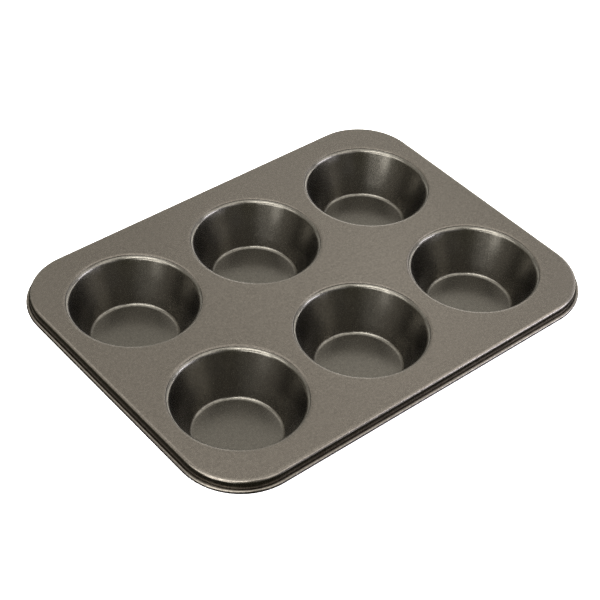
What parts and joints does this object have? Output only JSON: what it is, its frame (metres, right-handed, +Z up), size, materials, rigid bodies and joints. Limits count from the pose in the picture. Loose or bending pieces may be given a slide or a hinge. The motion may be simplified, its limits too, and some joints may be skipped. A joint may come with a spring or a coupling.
{
  "type": "muffin pan",
  "caption": "Rectangular muffin pan: a coated steel deck with rounded corners and a rolled wire edge, holding two rows of deep tapered round cups.",
  "frame": {"origin": "middle of the pan at the height of the cup bases, which is what it stands on", "axes": "+X along a row of three cups, +Y from the front row to the back row, +Z up out of the cups"},
  "size_m": [0.354, 0.267, 0.036],
  "materials": {
    "coated_steel": "satin",
    "rim_wire_steel": "satin"
  },
  "bodies": {
    "root": {"deck": "coated_steel", "rim_wire": "rim_wire_steel", "cup_back_left": "coated_steel", "cup_back_middle": "coated_steel", "cup_back_right": "coated_steel", "cup_front_left": "coated_steel", "cup_front_middle": "coated_steel", "cup_front_right": "coated_steel"}
  },
  "joints": []
}
